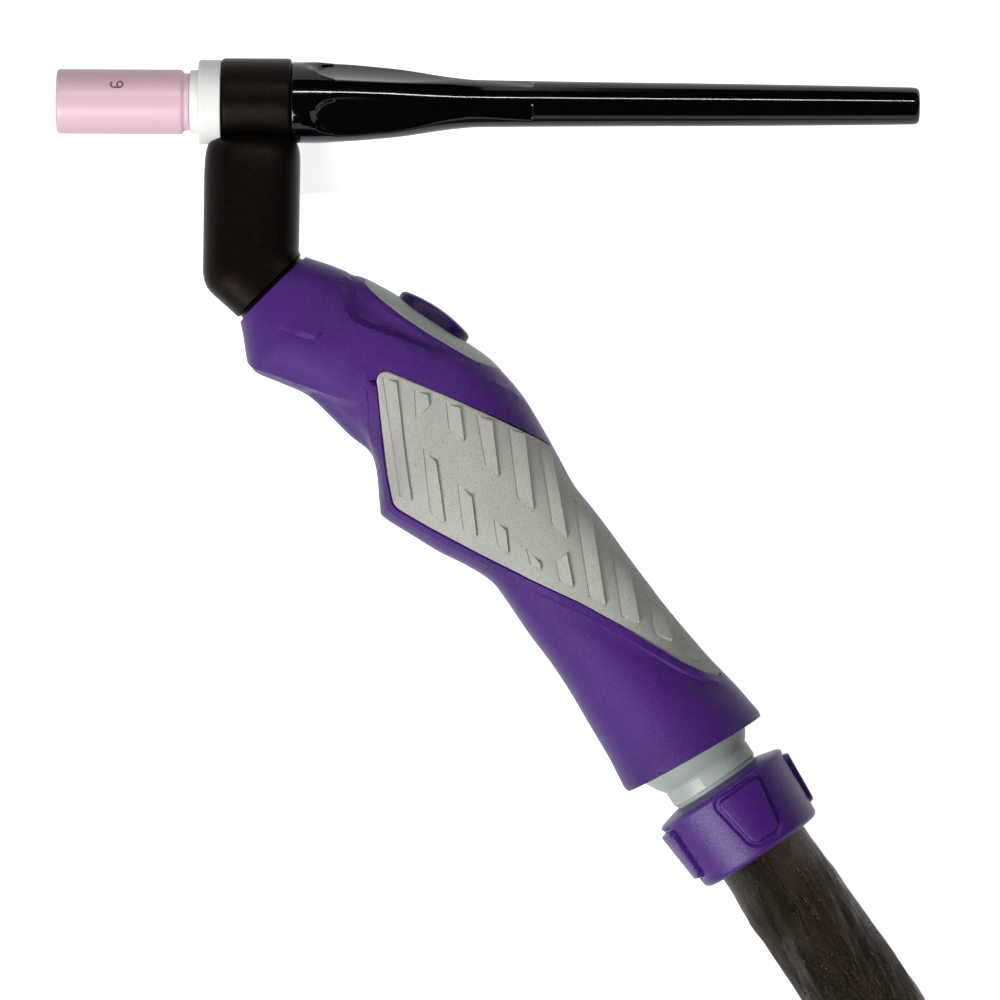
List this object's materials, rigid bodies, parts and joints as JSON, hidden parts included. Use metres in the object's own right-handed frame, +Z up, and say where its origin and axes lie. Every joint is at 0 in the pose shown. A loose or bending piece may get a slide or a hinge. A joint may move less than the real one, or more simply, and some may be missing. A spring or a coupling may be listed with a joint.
{
  "type": "tig torch",
  "caption": "Hand-held gas-cooled TIG welding torch with a ceramic cup, long back cap, ribbed handle with a switch button, a ball knuckle and its leather-sleeved cable.",
  "frame": {"origin": "centre of the gas cup's mouth, on the head's axis", "axes": "+X along the head from the cup's mouth to the back cap; +Z upwards from the side that the torch lies on, square to the plane that the two handle shells meet in; the handle runs towards +X and -Y"},
  "size_m": [0.302, 0.5417, 0.0454],
  "materials": {
    "alumina": "fired alumina, faintly satin, pink",
    "ptfe": "turned PTFE, waxy white",
    "copper": "bare copper, dull",
    "brass": "turned brass, dull",
    "tungsten": "ground tungsten",
    "head_rubber": "moulded rubber, matte, fine specks",
    "cap_black": "moulded phenolic, glossy black",
    "o_ring": "rubber, matte",
    "handle_purple": "moulded nylon, fine spark-eroded texture, purple",
    "grip_grey": "over-moulded elastomer, fine sandy texture, silver grey",
    "bezel_grey": "moulded nylon, fine texture, pale grey",
    "button_purple": "moulded nylon, fine texture, purple",
    "spring_steel": "drawn spring wire",
    "switch_black": "moulded plastic, black",
    "plunger_red": "moulded plastic, red",
    "wire": "wire insulation, black",
    "screw_steel": "zinc-plated steel",
    "hose_black": "braided rubber hose, matte black",
    "seat_white": "acetal, white",
    "stem_grey": "moulded nylon, pale grey-green",
    "ring_nylon": "nylon, natural",
    "nut_purple": "moulded nylon, fine texture, purple",
    "leather": "black grained leather, sewn into a tube",
    "boot_rubber": "moulded rubber, matte",
    "tie_fabric": "woven hook-and-loop strap, black",
    "plug_rubber": "moulded rubber, matte",
    "plug_brass": "turned brass, bright",
    "lead_black": "PVC cable jacket, black",
    "control_black": "moulded plastic, black",
    "coupling_metal": "nickel-plated, knurled"
  },
  "bodies": {
    "cable": {"ball_stem": "stem_grey", "cable_sleeve": "leather", "sleeve_boot": "boot_rubber", "hose_run": "hose_black", "hose_coil": "hose_black", "hose_tail": "hose_black", "coil_ties": "tie_fabric", "plug_body": "plug_rubber", "plug_pin": "plug_brass", "control_lead": "lead_black", "control_plug": "control_black"},
    "nut_carrier": {"clamp_ring": "ring_nylon"},
    "nut": {"clamp_nut": "nut_purple"},
    "lead_coupling": {"coupling_ring": "coupling_metal"},
    "knuckle_seat": {"ball_seat": "seat_white"},
    "handle": {"handle_shell_top": "handle_purple", "handle_shell_bottom": "handle_purple", "grip_panel_top": "grip_grey", "grip_panel_bottom": "grip_grey", "button_bezel": "bezel_grey", "switch_body": "switch_black", "switch_wires": "wire", "shell_screws": "screw_steel", "inner_hose": "hose_black", "head_body": "brass", "head_cover": "head_rubber", "neck_tube": "copper", "neck_clamp": "switch_black", "heat_shield": "ptfe", "collet_body": "copper", "collet": "copper", "button_spring": "spring_steel"},
    "cup": {"gas_cup": "alumina"},
    "electrode": {"tungsten_electrode": "tungsten"},
    "cap_carrier": {"back_cap_o_ring": "o_ring"},
    "cap": {"back_cap": "cap_black"},
    "button": {"switch_button": "button_purple", "switch_plunger": "plunger_red"}
  },
  "joints": [
    {"name": "knuckle_tilt", "type": "hinge", "parent": "cable", "child": "knuckle_seat", "pos_m": [0.15721, -0.15696, 0], "axis": [0, 0, 1], "range_deg": [-13.7, 22.3], "deforming": ["inner_hose", "switch_wires"]},
    {"name": "knuckle_swivel", "type": "hinge", "parent": "knuckle_seat", "child": "handle", "pos_m": [0.15721, -0.15696, 0], "axis": [0.5, -0.866, 0], "range_deg": [-90, 90], "deforming": ["inner_hose", "switch_wires"]},
    {"name": "button_press", "type": "slide", "parent": "handle", "child": "button", "axis": [-0.5621, -0.8271, 0], "range_m": [0, 0.0016], "stiffness_N_per_m": 400, "deforming": ["button_spring"]},
    {"name": "cup_pull", "type": "slide", "parent": "handle", "child": "cup", "axis": [-1, 0, 0], "range_m": [0, 0.012]},
    {"name": "electrode_feed", "type": "slide", "parent": "handle", "child": "electrode", "axis": [-1, 0, 0], "range_m": [0, 0.014]},
    {"name": "cap_feed", "type": "slide", "parent": "handle", "child": "cap_carrier", "axis": [1, 0, 0], "range_m": [0, 0.003]},
    {"name": "cap_turn", "type": "hinge", "parent": "cap_carrier", "child": "cap", "pos_m": [0.0588, 0, 0], "axis": [1, 0, 0], "range_deg": [0, 1080]},
    {"name": "nut_feed", "type": "slide", "parent": "cable", "child": "nut_carrier", "axis": [0.5635, -0.8261, 0], "range_m": [0, 0.003]},
    {"name": "nut_turn", "type": "hinge", "parent": "nut_carrier", "child": "nut", "pos_m": [0.15721, -0.15696, 0], "axis": [0.5635, -0.8261, 0], "range_deg": [0, 1080]},
    {"name": "lead_coupling_turn", "type": "hinge", "parent": "cable", "child": "lead_coupling", "pos_m": [0.0334, -0.412, 0.0025], "axis": [0.2756, -0.9613, 0], "continuous": true}
  ],
  "couplings": [
    {"joint": "cap_turn", "follows": "cap_feed", "rad_per_m": 6283.2},
    {"joint": "nut_turn", "follows": "nut_feed", "rad_per_m": 6283.2}
  ]
}
